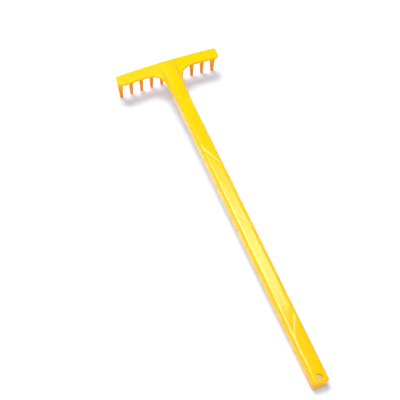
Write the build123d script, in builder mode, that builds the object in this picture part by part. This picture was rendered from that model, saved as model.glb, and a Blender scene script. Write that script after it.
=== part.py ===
from build123d import *
import math
import os

os.makedirs("parts", exist_ok=True)

# A child's one-piece moulded sand rake, in millimetres.
# It is drawn flat: X runs along the head, Y = 0 is the middle of the head's back edge,
# the handle runs towards -Y, and Z = 0 is the top of the head's plate.
# At the end every piece is tilted and moved together, so that the rake lies as it does
# on the ground, on its tine tips and the end of its handle.

# Whole rake
rake_length = 501.0

# Head plate
head_width = 147.6
head_depth = 18.4
head_bow = 2.5
plate_thickness = 3.6
plate_edge_radius = 2.2
head_back_corner_radius = 2.6
head_front_corner_radius = 6.5

# Gussets: the two concave corners between the head and the shaft
gusset_radius = 20.0
gusset_width_at_head = 30.4
gusset_end_margin = 2.0
wing_joint_margin = 1.2

# Shaft: an inverted channel with an open underside
shaft_height = 16.2
shaft_rise = 3.5
shaft_top_edge_radius = 3.2
shaft_rim_radius = 0.8
top_wall = 3.0
side_wall = 2.6
width_at_back_edge = 22.0
width_at_neck = 19.5
width_at_far_end = 20.5

# Neck: the length in which the shaft runs into the head
neck_length = 70.0
neck_full_depth_length = 15.0
ramp_length = 38.5
ramp_back_margin = 2.3
ramp_back_rise = 0.3
ramp_blend_radius = 200.0
tine_root_margin = 2.2

# Hanging end
hanging_end_length = 20.0
end_wall = 3.0
end_corner_radius = 3.8
hanging_hole_radius = 3.85
hanging_hole_from_end = 7.5
hanging_hole_rim_radius = 0.4

# Zig-zag braces inside the channel
first_brace_length = 35.0
brace_pitch = 49.0
brace_thickness = 2.0
brace_rim_setback = 1.0

# Tines
tine_count = 10
tine_end_margin = 0.1
outer_tine_flare = 1.3
outer_tine_tip_flare = 0.6
tine_drop = 43.3
tine_depth_in_head = 4.3
tine_root_width = 8.0
tine_root_thickness = 6.6
tine_root_corner_radius = 2.0
tine_tip_width = 3.8
tine_tip_thickness = 3.2
tine_tip_corner_radius = 1.5
tine_tip_rounding = 1.2

# Derived heights and stations
shaft_top = shaft_rise
shaft_bottom = shaft_top - shaft_height
channel_ceiling = shaft_top - top_wall
plate_underside = -plate_thickness
half_head = head_width / 2
bow_radius = (half_head**2 + head_bow**2) / (2 * head_bow)
wing_joint = gusset_width_at_head / 2 + gusset_radius + wing_joint_margin
neck_end = -neck_length
gusset_end = neck_end + gusset_end_margin
ramp_back = -(plate_edge_radius + ramp_back_margin)
ramp_front = ramp_back - ramp_length
far_end = -rake_length
hanging_start = far_end + hanging_end_length
tine_front = tine_depth_in_head + tine_root_thickness / 2
cavity_front = -(tine_front + tine_root_margin)
outer_tine_margin = tine_end_margin + outer_tine_flare
tine_pitch = (head_width - tine_root_width - 2 * outer_tine_margin) / (tine_count - 1)
zigzag_start = neck_end - first_brace_length
brace_turns = max(1, round((zigzag_start - hanging_start) / brace_pitch))
brace_stations = [neck_end]
brace_stations += [zigzag_start - turn * brace_pitch for turn in range(brace_turns)]
brace_stations.append(hanging_start)


def head_y(x, depth):
    """Y of the bowed line that lies this far in front of the head's back edge."""
    return math.sqrt((bow_radius - depth) ** 2 - x**2) - bow_radius


def shaft_width(y):
    """Full width of the shaft at a station along it."""
    if y > neck_end:
        share = y / neck_end
        return width_at_back_edge + (width_at_neck - width_at_back_edge) * share
    share = (neck_end - y) / (neck_end - far_end)
    return width_at_neck + (width_at_far_end - width_at_neck) * share


def shaft_outline(near, far, inset):
    """Corners of the shaft's plan between two stations, drawn in by a wall."""
    near_half = shaft_width(near) / 2 - inset
    far_half = shaft_width(far) / 2 - inset
    return [(-near_half, near), (near_half, near), (far_half, far), (-far_half, far)]


def ramp_top(y):
    """Height of the spine's top where it ramps down over the head."""
    share = (ramp_back - y) / ramp_length
    return ramp_back_rise + (shaft_rise - ramp_back_rise) * share


pieces = {}

# The handle between the neck and the hanging end
with BuildPart() as handle_channel:
    with BuildSketch(Plane.XY.offset(shaft_bottom)):
        Polygon(*shaft_outline(neck_end, hanging_start, 0), align=None)
    extrude(amount=shaft_height)
    fillet(edges().group_by(Axis.Z)[-1].sort_by(Axis.Y)[1:-1], shaft_top_edge_radius)
    fillet(edges().group_by(Axis.Z)[0].sort_by(Axis.Y)[1:-1], shaft_rim_radius)
    with BuildSketch(Plane.XY.offset(shaft_bottom)):
        Polygon(*shaft_outline(neck_end, hanging_start, side_wall), align=None)
    extrude(amount=shaft_height - top_wall, mode=Mode.SUBTRACT)
pieces["handle_channel"] = handle_channel.part

# The closed end with the hole to hang the rake by
with BuildPart() as hanging_end:
    with BuildSketch(Plane.XY.offset(shaft_bottom)) as end_plan:
        Polygon(*shaft_outline(hanging_start, far_end, 0), align=None)
        fillet(end_plan.vertices().group_by(Axis.Y)[0], end_corner_radius)
    extrude(amount=shaft_height)
    fillet(edges().group_by(Axis.Z)[-1].sort_by(Axis.Y)[:-1], shaft_top_edge_radius)
    fillet(edges().group_by(Axis.Z)[0].sort_by(Axis.Y)[:-1], shaft_rim_radius)
    with BuildSketch(Plane.XY.offset(shaft_bottom)) as end_cavity:
        Polygon(*shaft_outline(hanging_start, far_end + end_wall, side_wall), align=None)
        inner_corner = max(end_corner_radius - end_wall, 0.5)
        fillet(end_cavity.vertices().group_by(Axis.Y)[0], inner_corner)
    extrude(amount=shaft_height - top_wall, mode=Mode.SUBTRACT)
    with BuildSketch(Plane.XY.offset(channel_ceiling)):
        with Locations((0, far_end + hanging_hole_from_end)):
            Circle(hanging_hole_radius)
    extrude(amount=top_wall, mode=Mode.SUBTRACT)
    hole_rim = edges().filter_by(GeomType.CIRCLE).group_by(Axis.Z)[-1]
    fillet(hole_rim, hanging_hole_rim_radius)
pieces["hanging_end"] = hanging_end.part

# The neck: the middle of the head plate, both gussets and the shaft running over them
with BuildPart() as neck_plate:
    with BuildSketch(Plane.XY.offset(plate_underside)) as neck_plan:
        with BuildLine():
            back_left = (-wing_joint, head_y(wing_joint, 0))
            back_right = (wing_joint, head_y(wing_joint, 0))
            front_left = (-wing_joint, head_y(wing_joint, head_depth))
            front_right = (wing_joint, head_y(wing_joint, head_depth))
            ThreePointArc(back_left, (0, 0), back_right)
            Line(back_right, front_right)
            ThreePointArc(front_right, (0, -head_depth), front_left)
            Line(front_left, back_left)
        make_face()
        Polygon(
            (-gusset_width_at_head / 2, -head_depth / 2),
            (gusset_width_at_head / 2, -head_depth / 2),
            (shaft_width(gusset_end) / 2, gusset_end),
            (-shaft_width(gusset_end) / 2, gusset_end),
            align=None,
        )
        inner_corners = neck_plan.vertices().filter_by(
            lambda v: gusset_end + 0.01 < v.Y and abs(v.X) < wing_joint - 0.01
        )
        fillet(inner_corners, gusset_radius)
    extrude(amount=plate_thickness)
    rounded = edges().group_by(Axis.Z)[-1].filter_by(
        lambda e: abs(abs(e.center().X) - wing_joint) > 0.01
        and abs(e.center().Y - gusset_end) > 0.01
    )
    fillet(rounded, plate_edge_radius)

with BuildPart() as neck_cavity:
    with BuildSketch(Plane.YZ.offset(-width_at_back_edge)):
        Polygon(
            (cavity_front, shaft_bottom),
            (cavity_front, ramp_top(cavity_front) - top_wall),
            (ramp_front, channel_ceiling),
            (neck_end, channel_ceiling),
            (neck_end, shaft_bottom),
            align=None,
        )
    extrude(amount=2 * width_at_back_edge)
    with BuildSketch(Plane.XY.offset(shaft_bottom)):
        Polygon(*shaft_outline(cavity_front, neck_end, side_wall), align=None)
    extrude(amount=shaft_height, mode=Mode.INTERSECT)

with BuildPart() as shaft_neck:
    with BuildSketch(Plane.YZ.offset(-width_at_back_edge)) as neck_side:
        Polygon(
            (ramp_back, plate_underside),
            (ramp_back, ramp_back_rise),
            (ramp_front, shaft_top),
            (neck_end, shaft_top),
            (neck_end, shaft_bottom),
            (neck_end + neck_full_depth_length, shaft_bottom),
            (cavity_front, plate_underside),
            align=None,
        )
        ramp_corner = neck_side.vertices().filter_by(lambda v: abs(v.X - ramp_front) < 0.01)
        fillet(ramp_corner, ramp_blend_radius)
    extrude(amount=2 * width_at_back_edge)
    with BuildSketch(Plane.XY.offset(shaft_bottom)):
        Polygon(*shaft_outline(ramp_back, neck_end, 0), align=None)
    extrude(amount=shaft_height, mode=Mode.INTERSECT)
    top_chain = edges().filter_by(
        lambda e: e.center().Y > neck_end + 0.01
        and e.center().Z > 0.01
        and (abs(e.center().X) > 0.01 or abs(e.center().Y - ramp_back) < 0.01)
    )
    fillet(top_chain, shaft_top_edge_radius)
    rim_chain = edges().filter_by(
        lambda e: abs(e.center().X) > 0.01
        and e.center().Y > neck_end + 0.01
        and e.center().Z < plate_underside - 0.01
        and e.geom_type == GeomType.LINE
    )
    fillet(rim_chain, shaft_rim_radius)
    add(neck_plate.part)
    add(neck_cavity.part, mode=Mode.SUBTRACT)
pieces["shaft_neck"] = shaft_neck.part

# The two wings of the head plate, outside the gussets
for side_name, side in (("left", -1), ("right", 1)):
    with BuildPart() as head_wing:
        with BuildSketch(Plane.XY.offset(plate_underside)) as wing_plan:
            with BuildLine():
                wing_middle = (wing_joint + half_head) / 2
                inner_back = (side * wing_joint, head_y(wing_joint, 0))
                middle_back = (side * wing_middle, head_y(wing_middle, 0))
                outer_back = (side * half_head, head_y(half_head, 0))
                inner_front = (side * wing_joint, head_y(wing_joint, head_depth))
                middle_front = (side * wing_middle, head_y(wing_middle, head_depth))
                outer_front = (side * half_head, head_y(half_head, head_depth))
                ThreePointArc(inner_back, middle_back, outer_back)
                Line(outer_back, outer_front)
                ThreePointArc(outer_front, middle_front, inner_front)
                Line(inner_front, inner_back)
            make_face()
            outer_corners = wing_plan.vertices().filter_by(lambda v: side * v.X > half_head - 0.01)
            fillet(outer_corners.sort_by(Axis.Y)[0], head_front_corner_radius)
            outer_corners = wing_plan.vertices().filter_by(lambda v: side * v.X > half_head - 0.01)
            fillet(outer_corners.sort_by(Axis.Y)[-1], head_back_corner_radius)
        extrude(amount=plate_thickness)
        rounded = edges().group_by(Axis.Z)[-1].filter_by(
            lambda e: abs(side * e.center().X - wing_joint) > 0.01
        )
        fillet(rounded, plate_edge_radius)
    pieces[f"head_wing_{side_name}"] = head_wing.part

# Braces that cross the channel in a zig-zag, wall to wall
for number, (near, far) in enumerate(zip(brace_stations, brace_stations[1:])):
    near_side = -1 if number % 2 == 0 else 1
    near_x = near_side * (shaft_width(near) / 2 - side_wall)
    far_x = -near_side * (shaft_width(far) / 2 - side_wall)
    lean = math.degrees(math.atan2(near - far, near_x - far_x))
    with BuildPart() as handle_brace:
        with BuildSketch(Plane.XY.offset(shaft_bottom + brace_rim_setback)):
            Polygon(*shaft_outline(near, far, side_wall), align=None)
            with Locations(Location(((near_x + far_x) / 2, (near + far) / 2), lean)):
                Rectangle(2 * brace_pitch, brace_thickness, mode=Mode.INTERSECT)
        extrude(amount=channel_ceiling - shaft_bottom - brace_rim_setback)
    pieces[f"handle_brace_{number + 1:02d}"] = handle_brace.part

# Tines, standing square to the plate along its bowed back edge
for number in range(tine_count):
    tine_x = (number - (tine_count - 1) / 2) * tine_pitch
    tine_y = head_y(tine_x, tine_depth_in_head)
    outermost = number in (0, tine_count - 1)
    root_flare = outer_tine_flare if outermost else 0
    tip_flare = outer_tine_tip_flare if outermost else 0
    root_x = tine_x + math.copysign(root_flare / 2, tine_x)
    root_width = tine_root_width + root_flare
    tip_x = tine_x + math.copysign(tip_flare / 2, tine_x)
    tip_width = tine_tip_width + tip_flare
    with BuildPart() as tine:
        with BuildSketch(Plane.XY.offset(plate_underside)):
            with Locations((root_x, tine_y)):
                RectangleRounded(root_width, tine_root_thickness, tine_root_corner_radius)
        with BuildSketch(Plane.XY.offset(-tine_drop)):
            with Locations((tip_x, tine_y)):
                RectangleRounded(tip_width, tine_tip_thickness, tine_tip_corner_radius)
        loft(ruled=True)
        fillet(edges().group_by(Axis.Z)[0], tine_tip_rounding)
    pieces[f"tine_{number + 1:02d}"] = tine.part

# The rake at rest: the outer tine tips and the end of the handle touch the ground
outer_tip_y = head_y((tine_count - 1) / 2 * tine_pitch, tine_depth_in_head)
rest_tilt = math.atan2(shaft_bottom + tine_drop, outer_tip_y - far_end - shaft_rim_radius)
tilt = Rot(math.degrees(rest_tilt), 0, 0)
box = Compound(children=[piece.moved(tilt) for piece in pieces.values()]).bounding_box()
rest = Pos(-(box.min.X + box.max.X) / 2, -(box.min.Y + box.max.Y) / 2, -box.min.Z) * tilt

for name, piece in pieces.items():
    resting = piece.moved(rest)
    resting.label = name
    export_step(resting, f"parts/{name}.step")
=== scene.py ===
import math

import bpy
from mathutils import Matrix, Vector


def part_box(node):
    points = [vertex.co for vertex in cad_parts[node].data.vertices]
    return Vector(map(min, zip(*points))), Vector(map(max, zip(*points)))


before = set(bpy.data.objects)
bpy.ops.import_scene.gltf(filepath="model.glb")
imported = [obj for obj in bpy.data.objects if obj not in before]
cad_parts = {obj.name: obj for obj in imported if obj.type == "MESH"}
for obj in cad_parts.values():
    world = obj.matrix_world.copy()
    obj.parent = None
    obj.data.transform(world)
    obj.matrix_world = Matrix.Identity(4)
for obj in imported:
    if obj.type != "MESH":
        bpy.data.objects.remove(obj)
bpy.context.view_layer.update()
scene = bpy.context.scene
scene.view_settings.view_transform = "Standard"

# Lengths are in metres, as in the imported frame.
MILLIMETRE = 0.001

# ---------------------------------------------------------------- camera
# The photograph's view of the rake, worked out in the part's own frame.
CAMERA_AT = Vector((-0.25333, -0.55230, 0.91134))
CAMERA_AIM = Vector((-0.03085, 0.04003, 0.0))
CAMERA_ROLL = math.radians(-1.17)
FOCAL_PIXELS = 857.0
IMAGE_PIXELS = 400.0
SENSOR_WIDTH = 36.0
CLIP_NEAR = 0.01
CLIP_FAR = 50.0


def add_camera():
    data = bpy.data.cameras.new("camera")
    data.sensor_fit = "HORIZONTAL"
    data.sensor_width = SENSOR_WIDTH
    data.lens = FOCAL_PIXELS / IMAGE_PIXELS * SENSOR_WIDTH
    data.clip_start = CLIP_NEAR
    data.clip_end = CLIP_FAR
    camera = bpy.data.objects.new("camera", data)
    scene.collection.objects.link(camera)
    look = (CAMERA_AIM - CAMERA_AT).to_track_quat("-Z", "Y").to_matrix().to_4x4()
    roll = Matrix.Rotation(CAMERA_ROLL, 4, "Z")
    camera.matrix_world = Matrix.Translation(CAMERA_AT) @ look @ roll
    scene.camera = camera


# ---------------------------------------------------------------- shader helpers
# A Mix node's sockets, where it mixes colours.
MIX_SHARE = 0
MIX_FIRST = 6
MIX_SECOND = 7
MIX_RESULT = 2


class Tree:
    """A material's or the world's node tree, with short ways to add to it."""

    def __init__(self, owner):
        owner.use_nodes = True
        self.nodes = owner.node_tree.nodes
        self.links = owner.node_tree.links
        self.nodes.clear()

    def add(self, kind, settings=None, **inputs):
        """A node of this kind; each input is a value or another node's socket."""
        made = self.nodes.new("ShaderNode" + kind)
        for name, value in (settings or {}).items():
            setattr(made, name, value)
        for name, value in inputs.items():
            self.set(made.inputs[name.replace("_", " ")], value)
        return made

    def set(self, socket, value):
        if isinstance(value, bpy.types.NodeSocket):
            self.links.new(value, socket)
        else:
            socket.default_value = value

    def math(self, operation, *values):
        made = self.nodes.new("ShaderNodeMath")
        made.operation = operation
        for socket, value in zip(made.inputs, values):
            self.set(socket, value)
        return made.outputs[0]

    def ramp(self, value, low, high, out_low=0.0, out_high=1.0):
        """A smooth step from out_low, where value is low, to out_high, where it is high."""
        made = self.add(
            "MapRange",
            {"interpolation_type": "SMOOTHSTEP"},
            Value=value,
            From_Min=low,
            From_Max=high,
            To_Min=out_low,
            To_Max=out_high,
        )
        return made.outputs["Result"]

    def mix(self, share, first, second):
        """The first colour where share is 0, and the second where it is 1."""
        made = self.nodes.new("ShaderNodeMix")
        made.data_type = "RGBA"
        self.set(made.inputs[MIX_SHARE], share)
        self.set(made.inputs[MIX_FIRST], first)
        self.set(made.inputs[MIX_SECOND], second)
        return made.outputs[MIX_RESULT]

    def stretch(self, where, scale):
        """The place that a pattern reads; it is drawn out along an axis scaled under 1."""
        return self.add("Mapping", Vector=where, Scale=scale).outputs["Vector"]

    def noise(self, where, scale, detail=2.0, roughness=0.5):
        made = self.add(
            "TexNoise", Vector=where, Scale=scale, Detail=detail, Roughness=roughness
        )
        return made.outputs["Fac"]


# ---------------------------------------------------------------- the plastic's colour
YELLOW = (0.99, 0.60, 0.001, 1.0)
PALE_YELLOW = (1.0, 0.65, 0.002, 1.0)
# the colour of painted shade, mixed in where little sky shows
PAINTED_SHADE_YELLOW = (0.92, 0.28, 0.001, 1.0)

# Slow pale streaks, drawn out along the handle as the plastic flowed.
FLOW_STRETCH = (1.0, 0.25, 1.0)
FLOW_SCALE = 60.0
FLOW_DETAIL = 3.0
FLOW_RANGE = (0.35, 0.75)
FLOW_STRENGTH = 0.35

# Painted shade: where other plastic hides the sky, the yellow is painted warmer and darker,
# standing in for shade and for the light the plastic throws on itself. Each shade is the open
# part of the sky where it starts, where it is full, and how strong it then is. The strongest
# is for the wings, the tines and the braces.
SHADE_SAMPLES = 8
SHADE_REACH = 60.0 * MILLIMETRE
HANDLE_SHADE = (0.65, 0.22, 0.6)
ENDS_SHADE = (0.85, 0.3, 0.85)
STRONG_SHADE = (0.95, 0.40, 1.0)
# More painted shade in tight corners and creases, within a short reach.
CORNER_REACH = 7.0 * MILLIMETRE
CORNER_SHADE = (0.97, 0.55, 0.9)


def painted_shade(tree, reach, starts, full, most):
    """Share of painted shade at a spot: 0 in the open, and up to most where little sky shows.
    """
    sky = tree.add("AmbientOcclusion", {"samples": SHADE_SAMPLES}, Distance=reach)
    return tree.ramp(sky.outputs["AO"], starts, full, 0.0, most)


# Random pale flow streaks, then painted shade where the sky is hidden, and more painted shade
# in tight corners.
def plastic_colour(tree, along_flow, shade):
    flow = tree.ramp(tree.noise(along_flow, FLOW_SCALE, FLOW_DETAIL), *FLOW_RANGE)
    streaked = tree.mix(tree.math("MULTIPLY", flow, FLOW_STRENGTH), YELLOW, PALE_YELLOW)
    with_painted_shade = tree.mix(painted_shade(tree, SHADE_REACH, *shade), streaked, PAINTED_SHADE_YELLOW)
    return tree.mix(painted_shade(tree, CORNER_REACH, *CORNER_SHADE), with_painted_shade, PAINTED_SHADE_YELLOW)


# ---------------------------------------------------------------- the plastic's relief
# The skin: orange peel, a finer tool grain and hairline scratches along the handle. A
# scratch runs wherever its noise is within the spread of the level.
PEEL_DEPTH = 0.004 * MILLIMETRE
PEEL_SCALE = 700.0
PEEL_DETAIL = 1.0
GRAIN_DEPTH = 0.0008 * MILLIMETRE
GRAIN_SCALE = 3500.0
SCRATCH_DEPTH = 0.002 * MILLIMETRE
SCRATCH_SCALE = 420.0
SCRATCH_STRETCH = (1.0, 0.06, 1.0)
SCRATCH_LEVEL = 0.5
SCRATCH_SPREAD = 0.012

# The braces under the handle's skin leave a shallow zig-zag of sink marks on its top,
# which slants more than they do.
SINK_DEPTH = 0.18 * MILLIMETRE
SINK_HALF_WIDTH = 4.0 * MILLIMETRE
SINK_SLANT = 1.55

# The top falls away softly towards its edges, and the head's plate sweeps up to the
# spine. Both are parabolas, and each curve is its height one metre from where it starts.
SHOULDER_START = 4.2 * MILLIMETRE
SHOULDER_CURVE = 36.0
SPINE_HALF_WIDTH = 10.0 * MILLIMETRE
SWEEP_END = 28.0 * MILLIMETRE
SWEEP_CURVE = 3.0


def skin_height(tree, place):
    peel = tree.math("MULTIPLY", tree.noise(place, PEEL_SCALE, PEEL_DETAIL), PEEL_DEPTH)
    grain = tree.math("MULTIPLY", tree.noise(place, GRAIN_SCALE), GRAIN_DEPTH)
    wave = tree.noise(tree.stretch(place, SCRATCH_STRETCH), SCRATCH_SCALE)
    off_scratch = tree.math("ABSOLUTE", tree.math("SUBTRACT", wave, SCRATCH_LEVEL))
    scratches = tree.ramp(off_scratch, 0.0, SCRATCH_SPREAD, -SCRATCH_DEPTH, 0.0)
    return tree.math("ADD", tree.math("ADD", peel, grain), scratches)


def brace_line():
    """The zig-zag's turning point, pitch and half width, read from two braces."""
    low_2, high_2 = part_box("handle_brace_02")
    low_3, high_3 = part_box("handle_brace_03")
    pitch = (low_2[1] + high_2[1] - low_3[1] - high_3[1]) / 2
    turn = (low_2[1] + high_2[1]) / 2 + pitch / 2
    half = (high_2[0] - low_2[0]) / 2
    return turn, pitch, half


def sink_height(tree, x, y):
    turn, pitch, half = brace_line()
    swing = half * SINK_SLANT
    along = tree.math("DIVIDE", tree.math("SUBTRACT", turn, y), pitch)
    wave = tree.math("PINGPONG", along, 1.0)
    line = tree.math("MULTIPLY_ADD", wave, -2.0 * swing, swing)
    off_line = tree.math("ABSOLUTE", tree.math("SUBTRACT", x, line))
    return tree.ramp(off_line, 0.0, SINK_HALF_WIDTH, -SINK_DEPTH, 0.0)


def parabola(tree, distance, curve):
    """The curve times the distance squared, and 0 where the distance is negative."""
    ahead = tree.math("MAXIMUM", distance, 0.0)
    return tree.math("MULTIPLY", tree.math("POWER", ahead, 2.0), curve)


def shoulder_height(tree, x):
    across = tree.math("ABSOLUTE", x)
    on_spine = tree.math("MINIMUM", across, SPINE_HALF_WIDTH)
    past_start = tree.math("SUBTRACT", on_spine, SHOULDER_START)
    on_plate = tree.math("MAXIMUM", across, SPINE_HALF_WIDTH)
    to_end = tree.math("SUBTRACT", SWEEP_END, on_plate)
    shoulder = parabola(tree, past_start, -SHOULDER_CURVE)
    sweep = parabola(tree, to_end, SWEEP_CURVE)
    return tree.math("ADD", shoulder, sweep)


# ---------------------------------------------------------------- plastic
# Faint smears make the gloss uneven.
SMEAR_SCALE = 240.0
SMEAR_DETAIL = 4.0
SMEAR_ROUGHNESS = 0.6
SMEAR_RANGE = (0.3, 0.8)
GLOSS_RANGE = (0.09, 0.15)
MIRROR_LEVEL = 0.2

# Light goes a little way into the plastic, red the furthest and blue hardly at all.
INSIDE_SHARE = 0.35
INSIDE_REACH = 3.0 * MILLIMETRE
INSIDE_COLOURS = (1.0, 0.35, 0.02)


def plastic(name, shade, sinks=False, shoulders=False):
    """The rake's plastic; sinks and shoulders add the relief of the handle's top."""
    material = bpy.data.materials.new(name)
    tree = Tree(material)
    place = tree.add("TexCoord").outputs["Object"]
    split = tree.add("SeparateXYZ", Vector=place)
    along_flow = tree.stretch(place, FLOW_STRETCH)
    smear = tree.noise(along_flow, SMEAR_SCALE, SMEAR_DETAIL, SMEAR_ROUGHNESS)

    height = skin_height(tree, place)
    if sinks:
        marks = sink_height(tree, split.outputs["X"], split.outputs["Y"])
        height = tree.math("ADD", height, marks)
    if shoulders:
        height = tree.math("ADD", height, shoulder_height(tree, split.outputs["X"]))
    bump = tree.add("Bump", Strength=1.0, Distance=1.0, Height=height)

    shader = tree.add(
        "BsdfPrincipled",
        Base_Color=plastic_colour(tree, along_flow, shade),
        Roughness=tree.ramp(smear, *SMEAR_RANGE, *GLOSS_RANGE),
        Normal=bump.outputs["Normal"],
        Subsurface_Weight=INSIDE_SHARE,
        Subsurface_Scale=INSIDE_REACH,
        Subsurface_Radius=INSIDE_COLOURS,
        Specular_IOR_Level=MIRROR_LEVEL,
    )
    tree.add("OutputMaterial", Surface=shader.outputs["BSDF"])
    return material


def dress_nodes():
    # The three plastics differ in how strong their painted shade is; the handle's and the
    # ends' also carry relief on top.
    of_handle = plastic("yellow_plastic_handle", HANDLE_SHADE, sinks=True, shoulders=True)
    of_ends = plastic("yellow_plastic_ends", ENDS_SHADE, shoulders=True)
    of_rest = plastic("yellow_plastic", STRONG_SHADE)
    special = {"handle_channel": of_handle, "hanging_end": of_ends, "shaft_neck": of_ends}
    for name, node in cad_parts.items():
        node.data.materials.clear()
        node.data.materials.append(special.get(name, of_rest))


# ---------------------------------------------------------------- floor
FLOOR_HALF = 6.0

# The floor lights the rake with a plain white. Where it is seen, its own colour and a
# lift that needs no light make it white in the open and a cool grey in the shadow.
FLOOR_WHITE = (0.8, 0.8, 0.8, 1.0)
FLOOR_SEEN = (0.83, 0.78, 0.75, 1.0)
FLOOR_LIFT = (0.11, 0.24, 0.33, 1.0)

# Far from the rake the lamps fade, and a stronger lift keeps the floor white.
FLOOR_FAR = (0.9, 0.9, 0.9, 1.0)
FAR_START = 0.6
FAR_FULL = 1.4

# A painted pool of warm light on the floor under the handle's low end, standing in for light
# come through its thin plastic.
PAINTED_FLOOR_GLOW = (0.78, 0.52, 0.19, 1.0)
GLOW_INSIDE = 6.0 * MILLIMETRE
GLOW_OUTSIDE = 11.0 * MILLIMETRE
GLOW_LENGTH = 80.0 * MILLIMETRE


def seen_directly(tree):
    """1 on rays from the camera, in a reflection or through glass, and 0 on other light."""
    path = tree.add("LightPath")
    glossy = tree.math("MAXIMUM", path.outputs["Is Camera Ray"], path.outputs["Is Glossy Ray"])
    return tree.math("MAXIMUM", glossy, path.outputs["Is Transmission Ray"])


def painted_glow_share(tree, place):
    """Share of the painted warm glow: 1 on the floor under the low end of the handle, and 0
    past its walls.
    """
    low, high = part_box("hanging_end")
    split = tree.add("SeparateXYZ", Vector=place)
    off_axis = tree.math("ABSOLUTE", split.outputs["X"])
    across = tree.ramp(off_axis, GLOW_INSIDE, GLOW_OUTSIDE, 1.0, 0.0)
    past_end = tree.ramp(split.outputs["Y"], low[1], low[1] + GLOW_INSIDE)
    fading = tree.ramp(split.outputs["Y"], high[1], high[1] + GLOW_LENGTH, 1.0, 0.0)
    return tree.math("MULTIPLY", across, tree.math("MULTIPLY", past_end, fading))


def floor_material():
    material = bpy.data.materials.new("floor")
    tree = Tree(material)
    seen = seen_directly(tree)
    colour = tree.mix(seen, FLOOR_WHITE, FLOOR_SEEN)
    matt = tree.add("BsdfDiffuse", Color=colour)

    place = tree.add("TexCoord").outputs["Object"]
    # the lift is painted warm under the handle's low end, a painted pool of light
    lift_and_painted_glow = tree.mix(painted_glow_share(tree, place), FLOOR_LIFT, PAINTED_FLOOR_GLOW)
    distance = tree.add("VectorMath", {"operation": "LENGTH"}, Vector=place).outputs["Value"]
    lift_colour = tree.mix(tree.ramp(distance, FAR_START, FAR_FULL), lift_and_painted_glow, FLOOR_FAR)
    lift = tree.add("Emission", Color=lift_colour, Strength=seen)
    lifted = tree.nodes.new("ShaderNodeAddShader")
    tree.set(lifted.inputs[0], matt.outputs["BSDF"])
    tree.set(lifted.inputs[1], lift.outputs["Emission"])

    # the sheet is clear from below, so that the rake's underside can be looked at
    one_sided = tree.nodes.new("ShaderNodeMixShader")
    tree.set(one_sided.inputs[0], tree.add("NewGeometry").outputs["Backfacing"])
    tree.set(one_sided.inputs[1], lifted.outputs[0])
    tree.set(one_sided.inputs[2], tree.add("BsdfTransparent").outputs["BSDF"])
    tree.add("OutputMaterial", Surface=one_sided.outputs[0])
    return material


def add_floor():
    mesh = bpy.data.meshes.new("floor")
    size = FLOOR_HALF
    corners = [(-size, -size, 0), (size, -size, 0), (size, size, 0), (-size, size, 0)]
    mesh.from_pydata(corners, [], [(0, 1, 2, 3)])
    mesh.materials.append(floor_material())
    floor = bpy.data.objects.new("floor", mesh)
    scene.collection.objects.link(floor)


# ---------------------------------------------------------------- sky and lamps
# The sky is pale round the horizon, a little dimmer in front and dark overhead, where
# the lamps are. The ranges are of a direction's Y and Z.
SKY_WHITE = (1.0, 1.0, 1.0, 1.0)
SKY_AT_HORIZON = 0.9
SKY_IN_FRONT = 0.85
SKY_OVERHEAD = 0.1
FRONT_RANGE = (-0.7, 0.2)
OVERHEAD_RANGE = (0.2, 0.8)

# Softboxes: their middles, the way they face, their widths and lengths, and their
# brightness, where 1 is white.
DOWN = (0.0, 0.0, -1.0)
KEY_AT = (-0.14, 0.6, 2.0)
KEY_SIZE = (0.85, 0.85)
KEY_GLOW = 15.5
FRONT_AT = (-0.4, -2.0, 1.1)
FRONT_FACING = (0.15, 0.87, -0.46)
FRONT_SIZE = (1.5, 1.0)
FRONT_GLOW = 2.6
RIM_AT = (-0.8, 2.0, 0.8)
RIM_FACING = (0.35, -0.9, -0.3)
RIM_SIZE = (1.2, 0.8)
RIM_GLOW = 4.0

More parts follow.
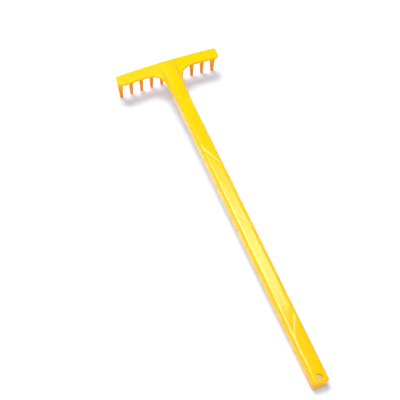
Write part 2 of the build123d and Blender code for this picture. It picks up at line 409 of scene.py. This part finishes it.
# Flat strips over the rake that show only in its gloss, as the long shine on the
# handle's top, its left edge and the left gusset: middle in X and Y, size, brightness.
STRIP_HEIGHT = 1.26
STRIPS = {
    "top_near": ((0.385, 0.365), (0.53, 0.27), 12.0),
    "top_middle": ((0.385, 0.56), (0.53, 0.12), 8.0),
    "top_far": ((0.385, 0.675), (0.53, 0.11), 4.0),
    "edge": ((0.14, 0.65), (0.16, 1.3), 0.9),
    "edge_middle": ((0.0, 0.5), (0.24, 0.5), 10.0),
    "gusset": ((0.1, 1.33), (0.25, 0.34), 3.5),
}


def add_sky():
    world = bpy.data.worlds.new("studio")
    scene.world = world
    tree = Tree(world)
    direction = tree.add("TexCoord").outputs["Generated"]
    split = tree.add("SeparateXYZ", Vector=direction)
    side = tree.ramp(split.outputs["Y"], *FRONT_RANGE, SKY_IN_FRONT, SKY_AT_HORIZON)
    overhead = tree.ramp(split.outputs["Z"], *OVERHEAD_RANGE)
    dimmed = tree.math("MULTIPLY", side, tree.math("SUBTRACT", 1.0, overhead))
    glow = tree.math("MULTIPLY_ADD", overhead, SKY_OVERHEAD, dimmed)
    # the camera sees it plain white, and only the light from it is softer
    seen_white = tree.math("MAXIMUM", glow, tree.add("LightPath").outputs["Is Camera Ray"])
    sky = tree.add("Background", Color=SKY_WHITE, Strength=seen_white)
    tree.add("OutputWorld", Surface=sky.outputs["Background"])


def add_softbox(name, at, facing, size, glow, shine_only=False):
    data = bpy.data.lights.new(name, "AREA")
    data.shape = "RECTANGLE"
    data.size, data.size_y = size
    data.energy = glow * math.pi * size[0] * size[1]
    lamp = bpy.data.objects.new(name, data)
    scene.collection.objects.link(lamp)
    lamp.location = at
    lamp.rotation_euler = Vector(facing).to_track_quat("-Z", "Y").to_euler()
    lamp.visible_diffuse = not shine_only


def add_lamps():
    add_softbox("key", KEY_AT, DOWN, KEY_SIZE, KEY_GLOW)
    add_softbox("front", FRONT_AT, FRONT_FACING, FRONT_SIZE, FRONT_GLOW)
    for name, (middle, size, glow) in STRIPS.items():
        add_softbox(name, (*middle, STRIP_HEIGHT), DOWN, size, glow, shine_only=True)
    add_softbox("rim", RIM_AT, RIM_FACING, RIM_SIZE, RIM_GLOW)


add_camera()
dress_nodes()
add_floor()
add_sky()
add_lamps()
